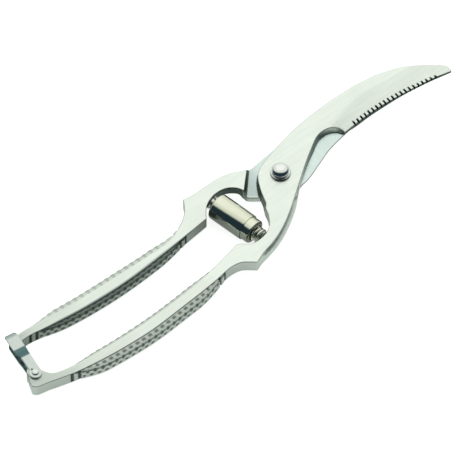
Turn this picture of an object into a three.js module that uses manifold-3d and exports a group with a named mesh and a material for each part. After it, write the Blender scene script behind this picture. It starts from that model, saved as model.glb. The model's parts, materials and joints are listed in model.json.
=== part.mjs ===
// Poultry shears: two half-lapped levers on one pivot, a sleeved coil spring between them and a
// swinging latch at the butt. Millimetres, +Z up. The shears lie flat: +X runs from the pivot to the
// blade tips, +Y points to the rear lever's side, and the origin is on the pivot axis, in the plane
// that the shears rest on.
import * as THREE from 'three';
import { mergeVertices } from 'three/addons/utils/BufferGeometryUtils.js';
import Module from 'manifold-3d';

const wasm = await Module();
wasm.setup();

// ---- driving dimensions -----------------------------------------------------------------------
const LEVER_THICKNESS = 7.0;
const LEVER_BASE = 2.8; // height of both levers' undersides above the rest plane
const LEVER_TOP = LEVER_BASE + LEVER_THICKNESS;
const LAP_PLANE = LEVER_BASE + LEVER_THICKNESS / 2;
const LAP_CLEARANCE = 0.15; // each lap stops this far short of the lap plane

const EDGE_CHAMFER = 0.45;
const LAND_THICKNESS = 0.6; // blade thickness left at the cutting edge
const FRONT_BEVEL_WIDTH = 8.5;
const REAR_BEVEL_WIDTH = 5.0;
const BLADE_TAPER = 2.0; // how much thinner each blade is at its tip
const BLADE_TAPER_START = 12;
const BLADE_TIP = 95.4;

const GRIP_START = [-142, -122]; // the grip's swell grows between these two places along X
const GRIP_END = [-72, -46]; // and fades between these two
const BOSS_SWELL = 2.2; // of the front lever's outer side, beside the pivot

const PIVOT_BORE_RADIUS = 2.7;
const SPRING_SEAT_REAR = new THREE.Vector2(-32.4, 9.0);
const SPRING_SEAT_FRONT = new THREE.Vector2(-26.5, -20.8);
const SPRING_SEAT_BORE = 1.8;
const SPRING_SEAT_DEPTH = 3.4;

const PIVOT = new THREE.Vector2(0, 0);
const PIVOT_SHANK_RADIUS = 2.4;
const WASHER_GAP = 0.1;
const HEAD_WASHER_RADIUS = 4.6;
const HEAD_WASHER_THICKNESS = 1.0;
const HEAD_RADIUS = 4.1;
const HEAD_RIM = 0.5;
const HEAD_RISE = 2.4;
const REAR_WASHER_RADIUS = 4.6;
const REAR_WASHER_THICKNESS = 0.35;
const SPRING_WASHER_THICKNESS = 0.35;
const SPRING_WASHER_DISH = 0.25;
const NUT_ACROSS_CORNERS = 9.2;
const NUT_THICKNESS = 1.5;

const PEG_FLANGE_RADIUS = 3.3;
const PEG_FLANGE_THICKNESS = 0.8;
const PEG_SHANK_RADIUS = 1.5;
const PEG_RADIUS = 2.1;
const PEG_LENGTH = 4.6;
const SLEEVE_WALL = 0.35;
const SLEEVE_LIP_RADIUS = 4.1;
const OUTER_SLEEVE_RADIUS = 6.25;
const OUTER_SLEEVE_SPAN = [4.9, 21.2]; // distances from the rear seat along the spring's axis
const INNER_SLEEVE_RADIUS = 5.75;
const INNER_SLEEVE_SPAN = [8.4, 25.4];
const COIL_WIRE = 1.2;
const COIL_TURNS = 12;
const COIL_RADIUS = 4.3;
const COIL_END_RADIUS = 3.1;

const LATCH_PIVOT = new THREE.Vector2(-151.2, -14.2);
const LATCH_BORE_RADIUS = 1.4;
const RIVET_RADIUS = 1.1;
const RIVET_HEAD_RADIUS = 1.6;
const LATCH_WASHER_RADIUS = 2.2;
const LATCH_WASHER_THICKNESS = 0.3;
const STRAP_ANGLE = THREE.MathUtils.degToRad(81.5); // from +X to the strap's length, when latched
const STRAP_THICKNESS = 0.9;
const STRAP_WIDTH = 5.8;
const STRAP_REACH = 22.0; // from the rivet to the inside of the bight
const STRAP_GAP = 0.2; // between each arm and the lever's face
const STRAP_JOGGLE = 0.8; // how far each arm steps outwards
const STRAP_RAMP = [9.5, 13.5]; // where it steps, from the rivet
const STRAP_WAIST = 1.6; // half width of the upper arm's outer side between the rivet and the ramp
const STRAP_TAPER = 0.9; // where the lower arm's outer side is, across from the rivet

// ---- levers: rungs from butt to tip -------------------------------------------------------------
// A rung joins the lever's +Y side to its -Y side: [x, y] on one side, [x, y] on the other. A third
// entry marks a corner: 'left' is the +Y side, 'right' the -Y side, 'both' is both.
const FRONT_RUNGS = [
  [[-154.1, -11.8], [-156.5, -18.4]],
  [[-152.3, -9.9], [-155.2, -20.1]],
  [[-149.0, -11.3], [-152.2, -21.0]],
  [[-147.3, -15.2], [-149.0, -21.7]],
  [[-144.8, -18.6], [-145.4, -22.8]],
  [[-136, -21.1], [-136, -25.2]],
  [[-120, -22.9], [-120, -27.6]],
  [[-98, -23.7], [-98, -29.0]],
  [[-78, -23.0], [-78, -28.0]],
  [[-59, -21.1], [-60, -26.7]],
  [[-46, -18.7], [-48.4, -25.3]],
  [[-39.3, -17.2], [-43.6, -26.2], 'left'],
  [[-37.2, -18.2], [-40.6, -28.3]],
  [[-34.6, -20.5], [-38.0, -30.6], 'right'],
  [[-31.6, -21.5], [-32.4, -28.4]],
  [[-26.2, -21.1], [-25.2, -26.5]],
  [[-22.2, -19.1], [-17.5, -23.3]],
  [[-18.7, -14.6], [-10.2, -19.0]],
  [[-17.1, -10.2], [-4.6, -15.1]],
  [[-16.3, -7.8], [-2.2, -13.4]],
  [[-13.6, -0.8], [3.6, -9.2]],
  [[-8.2, 6.4], [10, -4.6]],
  [[3, 10.6], [17.5, 0.4]],
  [[19.5, 14.4], [26.0, 5.1]],
  [[28.5, 15.6], [31.8, 5.0]],
  [[33, 15.9], [35.4, 2.6]],
  [[36.5, 16.1], [36.6, -0.6], 'right'],
  [[45.8, 16.3], [46.2, 0.1]],
  [[56.4, 15.9], [57.2, 0.2]],
  [[67.5, 14.3], [68.2, -0.7]],
  [[77.6, 11.0], [78, -1.9]],
  [[86.2, 5.9], [86.7, -3.2]],
  [[92.3, 0.7], [92.2, -4.5]],
  [[95.0, -2.2], [94.8, -4.7]],
];
const FRONT_STEP_RUNG = 18; // the front lever is full thickness up to here, half from the next rung

const REAR_RUNGS = [
  [[-149.3, 2.4], [-149.0, 1.5]],
  [[-147.9, 4.0], [-147.6, 2.0]],
  [[-145.6, 6.8], [-144.8, 2.9], 'left'],
  [[-141, 6.9], [-140.4, 2.9]],
  [[-130, 5.7], [-130, 1.0]],
  [[-112, 4.1], [-112, -1.3]],
  [[-92, 3.3], [-92, -2.2]],
  [[-73, 2.8], [-73, -1.5]],
  [[-61, 3.4], [-61, -0.5]],
  [[-52.5, 6.3], [-52, 0.5]],
  [[-46.2, 11.0], [-46, 1.1]],
  [[-42.7, 16.3], [-41.0, 1.6], 'both'],
  [[-39.5, 15.8], [-38.9, 4.5]],
  [[-36, 15.5], [-36.0, 7.2]],
  [[-29.5, 15.5], [-30.6, 9.3]],
  [[-22.5, 15.2], [-24.6, 8.8]],
  [[-16.5, 13.6], [-20.8, 6.3]],
  [[-10.9, 11.1], [-18.9, 3.1]],
  [[-8.7, 11.7], [-18.6, 1.0]],
  [[-5.5, 11.9], [-16.0, -1.5], 'right'],
  [[2, 12.7], [-7.5, -7.4]],
  [[12, 13.3], [6, -9.3]],
  [[23, 12.4], [18.1, -5.5]],
  [[30, 11.2], [25.6, -2.7]],
  [[38, 9.8], [36.4, -0.5]],
  [[47, 8.3], [46.5, 0.8]],
  [[58, 6.3], [57.5, 0.9]],
  [[72, 3.2], [72, -0.2]],
  [[85, 0.1], [85, -2.3]],
  [[93.4, -2.2], [93.2, -4.1]],
];
const REAR_STEP_RUNG = 17;

// ---- small helpers --------------------------------------------------------------------------------
function smoothstep(from, to, x) {
  return THREE.MathUtils.smoothstep(x, from, to);
}

// How far the grip's sides swell, from 0 on the plain stretches to 1 on the grip.
function gripFraction(x) {
  return smoothstep(GRIP_START[0], GRIP_START[1], x) * (1 - smoothstep(GRIP_END[0], GRIP_END[1], x));
}

// The same for the side of the boss, between the guard and the bone notch.
function bossFraction(x) {
  return smoothstep(-39, -31, x) * (1 - smoothstep(-8, 10, x));
}

function solidFrom(geometry) {
  const bare = geometry.clone();
  bare.deleteAttribute('normal');
  bare.deleteAttribute('uv');
  const merged = mergeVertices(bare, 1e-4);
  const mesh = new wasm.Mesh({
    numProp: 3,
    vertProperties: new Float32Array(merged.attributes.position.array),
    triVerts: new Uint32Array(merged.index.array),
  });
  return new wasm.Manifold(mesh);
}

function geometryFrom(solid) {
  const mesh = solid.getMesh();
  const geometry = new THREE.BufferGeometry();
  geometry.setAttribute('position', new THREE.BufferAttribute(new Float32Array(mesh.vertProperties), 3));
  geometry.setIndex(new THREE.BufferAttribute(new Uint32Array(mesh.triVerts), 1));
  geometry.computeVertexNormals();
  return geometry;
}

// A cylinder between two heights, upright on the point given.
function uprightCylinder(centre, radius, bottom, top, sides = 32) {
  const geometry = new THREE.CylinderGeometry(radius, radius, top - bottom, sides);
  geometry.rotateX(Math.PI / 2);
  geometry.translate(centre.x, centre.y, (top + bottom) / 2);
  return geometry;
}

// Turns a geometry that is modelled along +Y, from its foot at the origin, to point from a seat
// along a direction in the plane of the shears.
function seatedAlong(geometry, seat, direction, height) {
  geometry.rotateZ(Math.atan2(direction.y, direction.x) - Math.PI / 2);
  geometry.translate(seat.x, seat.y, height);
  return geometry;
}

// ---- lofted levers --------------------------------------------------------------------------------
// One side of a lever: a smooth curve through its rung ends, broken at the corners. The argument
// of the function it returns counts rungs.
function sideCurve(points, corners) {
  const breaks = [0, ...corners, points.length - 1];
  const pieces = [];
  for (let i = 0; i + 1 < breaks.length; i += 1) {
    const knots = points.slice(breaks[i], breaks[i + 1] + 1).map(([x, y]) => new THREE.Vector3(x, y, 0));
    pieces.push({ from: breaks[i], to: breaks[i + 1], curve: new THREE.CatmullRomCurve3(knots) });
  }
  return (rung) => {
    const piece = pieces.find(({ to }) => rung <= to) ?? pieces[pieces.length - 1];
    return piece.curve.getPoint((rung - piece.from) / (piece.to - piece.from));
  };
}

function cornersOf(rungs, side) {
  const marked = (mark) => mark === side || mark === 'both';
  return rungs.map((rung, index) => (marked(rung[2]) ? index : -1)).filter((index) => index > 0);
}

// Samples both sides of a lever, a few stations to each rung.
function leverStations(rungs) {
  const left = sideCurve(rungs.map((rung) => rung[0]), cornersOf(rungs, 'left'));
  const right = sideCurve(rungs.map((rung) => rung[1]), cornersOf(rungs, 'right'));
  const stations = [];
  for (let rung = 0; rung < rungs.length - 1; rung += 1) {
    const length = left(rung).distanceTo(left(rung + 1)) + right(rung).distanceTo(right(rung + 1));
    const steps = THREE.MathUtils.clamp(Math.round(length / 9), 1, 4);
    for (let step = 0; step < steps; step += 1) {
      stations.push({ rung: rung + step / steps });
    }
  }
  stations.push({ rung: rungs.length - 1 });
  for (const station of stations) {
    station.left = left(station.rung);
    station.right = right(station.rung);
  }
  for (const side of ['left', 'right']) {
    stations.forEach((station, index) => {
      const before = stations[Math.max(index - 1, 0)][side];
      const after = stations[Math.min(index + 1, stations.length - 1)][side];
      const along = after.clone().sub(before).normalize();
      const inward = side === 'left' ? -1 : 1;
      station[`${side}Inward`] = new THREE.Vector3(-along.y * inward, along.x * inward, 0);
    });
  }
  return stations;
}

// The wall of one side at one station, from the top face down to the underside: a chamfer, the
// grip's swell and a second chamfer.
function wallPoints(edge, inward, { top, bottom, chamfer, shoulder, swell }) {
  const depth = Math.min(chamfer, (top - bottom) / 4);
  const swellAt = (fraction) => -swell * (1 - (2 * fraction - 1) ** 2);
  const levels = [0.25, 0.5, 0.75];
  const upper = [[shoulder, top], [0, top - depth]];
  const middle = levels.map((fraction) => [
    swellAt(fraction),
    THREE.MathUtils.lerp(top - depth, bottom + depth, fraction),
  ]);
  const lower = [[0, bottom + depth], [depth, bottom]];
  return [...upper, ...middle, ...lower].map(([inset, z]) => {
    const point = edge.clone().addScaledVector(inward, inset);
    return point.setZ(z);
  });
}

// Closes a list of equal rings of points into one body.
function skinRings(rings) {
  const count = rings[0].length;
  const positions = rings.flat().flatMap(({ x, y, z }) => [x, y, z]);
  const indices = [];
  for (let ring = 0; ring + 1 < rings.length; ring += 1) {
    for (let i = 0; i < count; i += 1) {
      const a = ring * count + i;
      const b = ring * count + ((i + 1) % count);
      indices.push(a, b, a + count, b, b + count, a + count);
    }
  }
  for (const [ring, flip] of [[0, true], [rings.length - 1, false]]) {
    const middle = new THREE.Vector3();
    rings[ring].forEach((point) => middle.addScaledVector(point, 1 / count));
    const hub = positions.length / 3;
    positions.push(middle.x, middle.y, middle.z);
    for (let i = 0; i < count; i += 1) {
      const a = ring * count + i;
      const b = ring * count + ((i + 1) % count);
      indices.push(...(flip ? [b, a, hub] : [a, b, hub]));
    }
  }
  const geometry = new THREE.BufferGeometry();
  geometry.setAttribute('position', new THREE.Float32BufferAttribute(positions, 3));
  geometry.setIndex(indices);
  return geometry;
}

// The cutting edges in plan: the front edge is a shallow arch, the rear edge falls to the tip.
function frontEdgeY(x) {
  return 0.3 - (x - 53.2) ** 2 / 316;
}

function rearEdgeY(x) {
  const run = x - 34;
  return 10.6 - 0.15 * run - 0.00105 * run ** 2;
}

function bladeTaper(x) {
  return BLADE_TAPER * Math.max(0, (x - BLADE_TAPER_START) / (BLADE_TIP - BLADE_TAPER_START));
}

// Height of a blade face that falls from its full height to the land along the cutting edge.
function beveledHeight(full, land, distance, width, share) {
  const drop = (full - land) * THREE.MathUtils.clamp(1 - distance / width, 0, 1);
  return full - drop * share;
}

const FRONT_LEVER = {
  rungs: FRONT_RUNGS,
  swell: { left: 1.8, right: 3.3 },
  bossSwell: BOSS_SWELL,
  shoulder: { left: EDGE_CHAMFER, right: EDGE_CHAMFER },
  bevelWidth: FRONT_BEVEL_WIDTH,
  edgeDistance: (point) => point.y - frontEdgeY(point.x),
  top(point) {
    const full = LEVER_TOP - bladeTaper(point.x);
    const share = smoothstep(26, 32, point.x);
    const land = LAP_PLANE + LAND_THICKNESS;
    return beveledHeight(full, land, this.edgeDistance(point), this.bevelWidth, share);
  },
  bottom(point, rung) {
    const lap = LAP_PLANE + LAP_CLEARANCE;
    return THREE.MathUtils.lerp(LEVER_BASE, lap, THREE.MathUtils.clamp(rung - FRONT_STEP_RUNG, 0, 1));
  },
};

const REAR_LEVER = {
  rungs: REAR_RUNGS,
  swell: { left: 2.8, right: 1.75 },
  bossSwell: 0,
  shoulder: { left: EDGE_CHAMFER, right: 1.3 },
  bevelWidth: REAR_BEVEL_WIDTH,
  edgeDistance: (point) => rearEdgeY(point.x) - point.y,
  top(point, rung) {
    const lap = LAP_PLANE - LAP_CLEARANCE;
    return THREE.MathUtils.lerp(LEVER_TOP, lap, THREE.MathUtils.clamp(rung - REAR_STEP_RUNG, 0, 1));
  },
  bottom(point) {
    const full = LEVER_BASE + bladeTaper(point.x);
    const share = smoothstep(16, 30, point.x);
    const land = LAP_PLANE - LAND_THICKNESS;
    return beveledHeight(full, land, this.edgeDistance(point), this.bevelWidth, share);
  },
};

// The ring of points round a lever at one station: across the top, down the -Y side, back across
// the underside and up the +Y side. Each face has a middle point, which follows the bevel's crease.
function leverRing(lever, station) {
  const { left, right, rung } = station;
  const grip = gripFraction((left.x + right.x) / 2);
  const boss = bossFraction(right.x);
  const wall = (side) => wallPoints(station[side], station[`${side}Inward`], {
    top: lever.top(station[side], rung),
    bottom: lever.bottom(station[side], rung),
    chamfer: EDGE_CHAMFER,
    shoulder: THREE.MathUtils.lerp(EDGE_CHAMFER, lever.shoulder[side], grip),
    swell: lever.swell[side] * grip + (side === 'right' ? lever.bossSwell * boss : 0),
  });
  const near = lever.edgeDistance(left);
  const far = lever.edgeDistance(right);
  const share = THREE.MathUtils.clamp((near - lever.bevelWidth) / (near - far), 0.2, 0.8);
  const crease = left.clone().lerp(right, share);
  const topCrease = crease.clone().setZ(lever.top(crease, rung));
  const bottomCrease = crease.clone().setZ(lever.bottom(crease, rung));
  return [topCrease, ...wall('right'), bottomCrease, ...wall('left').reverse()];
}

function leverBlank(lever) {
  return skinRings(leverStations(lever.rungs).map((station) => leverRing(lever, station)));
}

// ---- the two levers -------------------------------------------------------------------------------
const springAxis = SPRING_SEAT_FRONT.clone().sub(SPRING_SEAT_REAR).normalize();
const springLength = SPRING_SEAT_FRONT.distanceTo(SPRING_SEAT_REAR);
const springHeight = LEVER_BASE + LEVER_THICKNESS / 2;

// The blind bore and spot face that take a spring peg, cut into the wall of a pocket.
function pegSeatCutter(seat, intoWall) {
  const profile = [
    [0, -3.0], [PEG_FLANGE_RADIUS + 0.5, -3.0], [PEG_FLANGE_RADIUS + 0.5, 0],
    [SPRING_SEAT_BORE, 0], [SPRING_SEAT_BORE, SPRING_SEAT_DEPTH], [0, SPRING_SEAT_DEPTH],
  ].map(([r, y]) => new THREE.Vector2(r, y));
  return seatedAlong(new THREE.LatheGeometry(profile, 24), seat, intoWall, springHeight);
}

// An upright hole through a lever's whole thickness.
function throughHole(centre, radius, sides) {
  return solidFrom(uprightCylinder(centre, radius, LEVER_BASE - 1, LEVER_TOP + 1, sides));
}

function frontLever() {
  return geometryFrom(
    solidFrom(leverBlank(FRONT_LEVER))
      .subtract(throughHole(PIVOT, PIVOT_BORE_RADIUS, 32))
      .subtract(throughHole(LATCH_PIVOT, LATCH_BORE_RADIUS, 20))
      .subtract(solidFrom(pegSeatCutter(SPRING_SEAT_FRONT, springAxis))),
  );
}

function rearLever() {
  return geometryFrom(
    solidFrom(leverBlank(REAR_LEVER))
      .subtract(throughHole(PIVOT, PIVOT_BORE_RADIUS, 32))
      .subtract(solidFrom(pegSeatCutter(SPRING_SEAT_REAR, springAxis.clone().negate()))),
  );
}

// ---- pivot ------------------------------------------------------------------------------------------
function lathe(profile, sides = 32) {
  return new THREE.LatheGeometry(profile.map(([r, y]) => new THREE.Vector2(r, y)), sides);
}

// A lathed piece whose axis is the pivot or the rivet: profile heights are heights above the rest plane.
function uprightLathe(centre, profile, sides = 32) {
  const geometry = lathe(profile, sides);
  geometry.rotateX(Math.PI / 2);
  geometry.translate(centre.x, centre.y, 0);
  return geometry;
}

function ring(centre, inner, outer, bottom, top, sides = 32) {
  const profile = [[inner, bottom], [outer, bottom], [outer, top], [inner, top], [inner, bottom]];
  return uprightLathe(centre, profile, sides);
}

// A shallow dome from its rim to its top, as lathe points that end on the axis.
function domeProfile(rimRadius, rimHeight, rise, steps) {
  const points = [];
  for (let step = 1; step <= steps; step += 1) {
    const angle = (step / steps) * (Math.PI / 2);
    points.push([rimRadius * Math.cos(angle), rimHeight + rise * Math.sin(angle)]);
  }
  points[points.length - 1][0] = 0;
  return points;
}

function pivotScrew() {
  const seat = LEVER_TOP + WASHER_GAP + HEAD_WASHER_THICKNESS + WASHER_GAP;
  return uprightLathe(PIVOT, [
    [0, 0], [PIVOT_SHANK_RADIUS, 0], [PIVOT_SHANK_RADIUS, seat], [HEAD_RADIUS, seat],
    [HEAD_RADIUS, seat + HEAD_RIM], ...domeProfile(HEAD_RADIUS, seat + HEAD_RIM, HEAD_RISE, 5),
  ]);
}

function pivotHeadWasher() {
  const bottom = LEVER_TOP + WASHER_GAP;
  return ring(PIVOT, PIVOT_BORE_RADIUS, HEAD_WASHER_RADIUS, bottom, bottom + HEAD_WASHER_THICKNESS);
}

// A dished washer: its outer rim stands lower than its bore.
function pivotSpringWasher() {
  const top = LEVER_BASE - WASHER_GAP;
  const [inner, outer] = [PIVOT_BORE_RADIUS, REAR_WASHER_RADIUS - 0.2];
  return uprightLathe(PIVOT, [
    [inner, top - SPRING_WASHER_THICKNESS], [outer, top - SPRING_WASHER_THICKNESS - SPRING_WASHER_DISH],
    [outer, top - SPRING_WASHER_DISH], [inner, top], [inner, top - SPRING_WASHER_THICKNESS],
  ]);
}

function pivotRearWasher() {
  const bottom = NUT_THICKNESS + WASHER_GAP;
  return ring(PIVOT, PIVOT_BORE_RADIUS, REAR_WASHER_RADIUS, bottom, bottom + REAR_WASHER_THICKNESS);
}

function pivotNut() {
  const hexagon = uprightCylinder(PIVOT, NUT_ACROSS_CORNERS / 2, 0, NUT_THICKNESS, 6);
  const bore = uprightCylinder(PIVOT, PIVOT_BORE_RADIUS, -1, NUT_THICKNESS + 1);
  return geometryFrom(solidFrom(hexagon).subtract(solidFrom(bore)));
}

// ---- sleeved spring ---------------------------------------------------------------------------------
function springPeg(seat, towardsSpring) {
  const profile = [
    [0, 0.3 - SPRING_SEAT_DEPTH], [PEG_SHANK_RADIUS, 0.3 - SPRING_SEAT_DEPTH], [PEG_SHANK_RADIUS, 0.2],
    [PEG_FLANGE_RADIUS, 0.2], [PEG_FLANGE_RADIUS, 0.2 + PEG_FLANGE_THICKNESS],
    [PEG_RADIUS, 0.2 + PEG_FLANGE_THICKNESS], [PEG_RADIUS, PEG_LENGTH - 0.8],
    ...domeProfile(PEG_RADIUS, PEG_LENGTH - 0.8, 0.8, 3),
  ];
  return seatedAlong(lathe(profile, 20), seat, towardsSpring, springHeight);
}

// A sleeve is a thin tube with one end turned in to hold the coil's shoulder.
function sleeve(radius, from, to, lipAt) {
  const inside = radius - SLEEVE_WALL;
  const lip = lipAt === 'start'
    ? [[inside, from + SLEEVE_WALL], [SLEEVE_LIP_RADIUS, from + SLEEVE_WALL], [SLEEVE_LIP_RADIUS, from]]
    : [];
  const farLip = lipAt === 'end'
    ? [[SLEEVE_LIP_RADIUS, to], [SLEEVE_LIP_RADIUS, to - SLEEVE_WALL], [inside, to - SLEEVE_WALL]]
    : [[inside, to]];
  const start = lipAt === 'start' ? lip : [[inside, from]];
  const profile = [...start, [radius, from], [radius, to], ...farLip];
  profile.push(profile[0]);
  return seatedAlong(lathe(profile), SPRING_SEAT_REAR, springAxis, springHeight);
}

// A round-wire coil whose end turns draw in to sit round the pegs.
class CoilCurve extends THREE.Curve {
  getPoint(t, target = new THREE.Vector3()) {
    const turn = t * COIL_TURNS;
    const fromEnd = Math.min(turn, COIL_TURNS - turn);
    const radius = THREE.MathUtils.lerp(COIL_END_RADIUS, COIL_RADIUS, smoothstep(2.3, 3.3, fromEnd));
    const closed = COIL_WIRE + 0.15; // rise of each closed end turn
    const active = (this.length - 2 * closed) / (COIL_TURNS - 2);
    const lead = Math.min(turn, 1) * closed;
    const middle = THREE.MathUtils.clamp(turn - 1, 0, COIL_TURNS - 2) * active;
    const tail = Math.max(turn - COIL_TURNS + 1, 0) * closed;
    const angle = turn * 2 * Math.PI;
    return target.set(radius * Math.cos(angle), lead + middle + tail, radius * Math.sin(angle));
  }
}

function compressionSpring() {
  const start = 0.2 + PEG_FLANGE_THICKNESS + COIL_WIRE / 2 + 0.1;
  const path = new CoilCurve();
  path.length = springLength - 2 * start;
  const section = new THREE.Shape();
  section.absarc(0, 0, COIL_WIRE / 2, 0, 2 * Math.PI);
  const geometry = new THREE.ExtrudeGeometry(section, {
    steps: COIL_TURNS * 12,
    curveSegments: 3,
    extrudePath: path,
    bevelEnabled: false,
  });
  geometry.translate(0, start, 0);
  return seatedAlong(geometry, SPRING_SEAT_REAR, springAxis, springHeight);
}

// ---- latch --------------------------------------------------------------------------------------------
// The strap's side profile in (distance from the rivet, height), half of it: the other half is its
// mirror image in the levers' middle plane. The arms step outwards before they reach the bight.
function strapHalfProfile(gapFromLever, bightAt, bendRadius) {
  const low = LEVER_THICKNESS / 2 + gapFromLever;
  const high = low + STRAP_JOGGLE;
  const [rampStart, rampEnd] = STRAP_RAMP;
  const points = [[-STRAP_WIDTH, low], [rampStart, low], [rampEnd, high]];
  for (let step = 0; step <= 3; step += 1) {
    const angle = (step / 3) * (Math.PI / 2);
    points.push([bightAt - bendRadius * (1 - Math.sin(angle)), high - bendRadius * (1 - Math.cos(angle))]);
  }
  return points;
}

// A prism over an outline in (distance from the rivet, distance across), between two heights.
function strapPrism(outline, bottom, top) {
  const depth = top - bottom;
  const geometry = new THREE.ExtrudeGeometry(outline, { depth, bevelEnabled: false, curveSegments: 10 });
  geometry.translate(0, 0, bottom);
  return solidFrom(geometry);
}

function polygon(points) {
  return new THREE.Shape(points.map(([x, y]) => new THREE.Vector2(x, y)));
}

// The folded strip at full width, before its outline is cut.
function foldedStrip() {
  const outer = strapHalfProfile(STRAP_GAP + STRAP_THICKNESS, STRAP_REACH + STRAP_THICKNESS, 1.8);
  const inner = strapHalfProfile(STRAP_GAP, STRAP_REACH, 0.9);
  const below = (points) => points.map(([s, z]) => [s, -z]);
  const profile = [...outer, ...below(outer).reverse(), ...below(inner), ...inner.reverse()];
  const bent = new THREE.ExtrudeGeometry(polygon(profile), { depth: STRAP_WIDTH, bevelEnabled: false });
  bent.translate(0, 0, -STRAP_WIDTH / 2);
  bent.rotateX(Math.PI / 2);
  return solidFrom(bent);
}

// Seen from above: a round eye at the rivet and small corners at the bight.
function strapOutline() {
  const half = STRAP_WIDTH / 2;
  const end = STRAP_REACH + STRAP_THICKNESS + 0.01;
  const outline = new THREE.Shape();
  outline.absarc(0, 0, half, Math.PI / 2, -Math.PI / 2, false);
  outline.lineTo(end - 0.9, -half);
  outline.lineTo(end, -half + 0.8);
  outline.lineTo(end, half - 0.8);
  outline.lineTo(end - 0.9, half);
  return outline;
}

// Takes away the outer side of the upper arm between the eye and the ramp.
function strapWaistCutter() {
  const [rampStart, rampEnd] = STRAP_RAMP;
  const outside = STRAP_WIDTH / 2 + 1;
  const ramp = [[rampStart, STRAP_WAIST], [rampEnd - 1, STRAP_WIDTH / 2 + 0.01], [rampEnd - 1, outside]];
  return strapPrism(polygon([[2.4, outside], [2.4, STRAP_WAIST], ...ramp]), 0, 10);
}

// Takes away the outer side of the bight on a slant, and of the lower arm up to its eye.
function strapTaperCutter() {
  const outside = STRAP_WIDTH / 2 + 1;
  const high = LEVER_THICKNESS / 2;
  const slant = polygon([
    [outside, high], [STRAP_WIDTH / 2 + 0.01, high],
    [STRAP_TAPER, -high], [STRAP_TAPER, -10], [outside, -10],
  ]);
  const geometry = new THREE.ExtrudeGeometry(slant, { depth: STRAP_REACH, bevelEnabled: false });
  geometry.rotateX(Math.PI / 2);
  geometry.rotateZ(Math.PI / 2);
  geometry.translate(3.0, 0, 0);
  return solidFrom(geometry);
}

function latchStrap() {
  const bore = uprightCylinder(new THREE.Vector2(0, 0), LATCH_BORE_RADIUS, -10, 10, 20);
  const strap = geometryFrom(
    foldedStrip()
      .intersect(strapPrism(strapOutline(), -10, 10))
      .subtract(strapWaistCutter())
      .subtract(strapTaperCutter())
      .subtract(solidFrom(bore)),
  );
  strap.rotateZ(STRAP_ANGLE);
  strap.translate(LATCH_PIVOT.x, LATCH_PIVOT.y, springHeight);
  return strap;
}

const strapBottom = LEVER_BASE - STRAP_GAP - STRAP_THICKNESS;
const latchWasherBottom = strapBottom - WASHER_GAP - LATCH_WASHER_THICKNESS;

function latchWasher() {
  const top = latchWasherBottom + LATCH_WASHER_THICKNESS;
  return ring(LATCH_PIVOT, LATCH_BORE_RADIUS, LATCH_WASHER_RADIUS, latchWasherBottom, top, 20);
}

function latchRivet() {
  const head = LEVER_TOP + STRAP_GAP + STRAP_THICKNESS + WASHER_GAP;
  const tail = latchWasherBottom - WASHER_GAP;
  return uprightLathe(LATCH_PIVOT, [
    [0, tail - 0.7], [RIVET_HEAD_RADIUS, tail - 0.7], [RIVET_HEAD_RADIUS, tail], [RIVET_RADIUS, tail],
    [RIVET_RADIUS, head], [RIVET_HEAD_RADIUS, head], [RIVET_HEAD_RADIUS, head + 0.25],
    ...domeProfile(RIVET_HEAD_RADIUS, head + 0.25, 0.45, 3),
  ], 20);
}

// ---- the assembly -------------------------------------------------------------------------------------
function steel(color, roughness) {
  return new THREE.MeshStandardMaterial({ color, roughness, metalness: 1.0 });
}

const satinSteel = steel(0xdfe5df, 0.38);
const polishedSteel = steel(0xd8dcd6, 0.15);
const stampedSteel = steel(0xcdd3cd, 0.3);
const springSteel = steel(0x9aa39e, 0.35);

const shears = new THREE.Group();

function add(name, geometry, material) {
  const mesh = new THREE.Mesh(geometry, material);
  mesh.name = name;
  shears.add(mesh);
}

add('rear_lever', rearLever(), satinSteel);
add('front_lever', frontLever(), satinSteel);
add('pivot_screw', pivotScrew(), polishedSteel);
add('pivot_head_washer', pivotHeadWasher(), polishedSteel);
add('pivot_spring_washer', pivotSpringWasher(), springSteel);
add('pivot_rear_washer', pivotRearWasher(), stampedSteel);
add('pivot_nut', pivotNut(), stampedSteel);
add('rear_spring_peg', springPeg(SPRING_SEAT_REAR, springAxis), stampedSteel);
add('front_spring_peg', springPeg(SPRING_SEAT_FRONT, springAxis.clone().negate()), stampedSteel);
add('compression_spring', compressionSpring(), springSteel);
add('outer_sleeve', sleeve(OUTER_SLEEVE_RADIUS, ...OUTER_SLEEVE_SPAN, 'start'), polishedSteel);
add('inner_sleeve', sleeve(INNER_SLEEVE_RADIUS, ...INNER_SLEEVE_SPAN, 'end'), polishedSteel);
add('latch_strap', latchStrap(), stampedSteel);
add('latch_rivet', latchRivet(), stampedSteel);
add('latch_washer', latchWasher(), stampedSteel);

export default shears;
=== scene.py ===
import json
import math

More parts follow.
